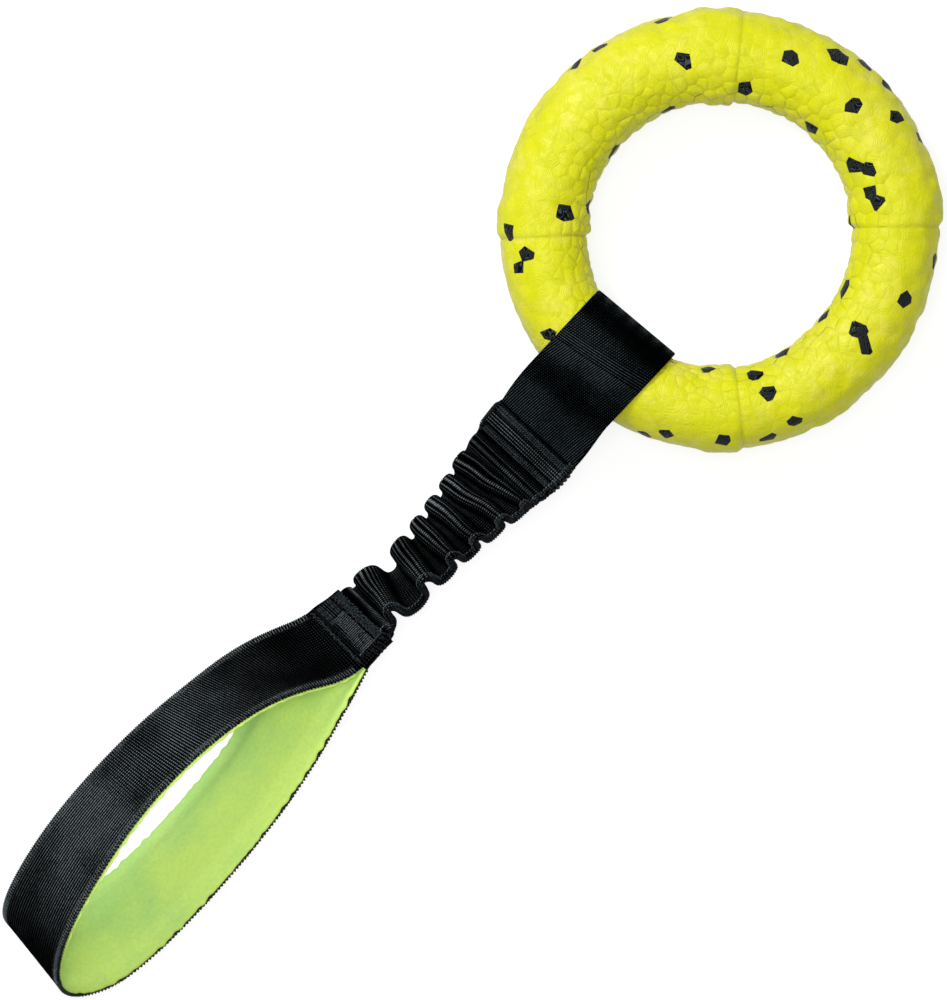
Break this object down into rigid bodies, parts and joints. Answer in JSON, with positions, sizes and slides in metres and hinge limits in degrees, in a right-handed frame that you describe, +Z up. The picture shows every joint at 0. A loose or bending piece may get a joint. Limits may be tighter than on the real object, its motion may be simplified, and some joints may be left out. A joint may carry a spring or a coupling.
{
  "type": "dog tug ring",
  "caption": "Moulded foam tug ring on a black webbing strap with a gathered elastic sleeve and a lined hand loop.",
  "frame": {"origin": "on the floor, under the middle of the whole length, in line with the middle of the ring", "axes": "+X along the strap from the hand loop to the ring, +Y to the strap's left, +Z up from the floor the toy lies on"},
  "size_m": [0.4643, 0.165, 0.0733],
  "materials": {
    "bead_foam": "matt moulded bead foam, fluorescent yellow with black beads",
    "black_webbing": "ribbed nylon webbing, slight sheen",
    "sleeve_cloth": "fine ribbed nylon tape, gathered",
    "elastic": "matt covered rubber strap",
    "lining": "brushed soft lining, light green",
    "padding": "grey soft padding",
    "thread": "black sewing thread"
  },
  "bodies": {
    "handle": {"handle_webbing": "black_webbing", "handle_padding": "padding", "handle_lining": "lining", "handle_seam_near": "thread", "handle_seam_far": "thread", "lower_box_stitch_front": "thread", "lower_box_stitch_back": "thread", "lower_bartack_front": "thread", "lower_bartack_back": "thread"},
    "elastic": {"elastic_core": "elastic"},
    "sleeve": {"sleeve_front": "sleeve_cloth", "sleeve_back": "sleeve_cloth", "sleeve_seam_near": "thread", "sleeve_seam_far": "thread"},
    "ring_strap": {"ring_webbing": "black_webbing", "upper_box_stitch_front": "thread", "upper_box_stitch_back": "thread", "upper_bartack_front": "thread", "upper_bartack_back": "thread"},
    "ring": {"foam_ring": "bead_foam"}
  },
  "joints": [
    {"name": "lower_fold", "type": "hinge", "parent": "handle", "child": "elastic", "pos_m": [-0.0455, -0.00152, 0.0175], "axis": [0, -0.809, 0.5878], "range_deg": [-60, 60]},
    {"name": "bungee_stretch", "type": "slide", "parent": "elastic", "child": "sleeve", "axis": [1, 0, 0], "range_m": [0, 0.07], "stiffness_N_per_m": 300, "deforming": ["sleeve_front", "sleeve_back", "sleeve_seam_near", "sleeve_seam_far", "elastic_core"]},
    {"name": "upper_fold", "type": "hinge", "parent": "sleeve", "child": "ring_strap", "pos_m": [0.0269, -0.00334, 0.0175], "axis": [0, -0.9659, 0.2588], "range_deg": [-60, 60]},
    {"name": "ring_slip", "type": "hinge", "parent": "ring_strap", "child": "ring", "pos_m": [0.1495, 0, 0.0175], "axis": [0, 0, 1], "range_deg": [-12, 12]}
  ]
}
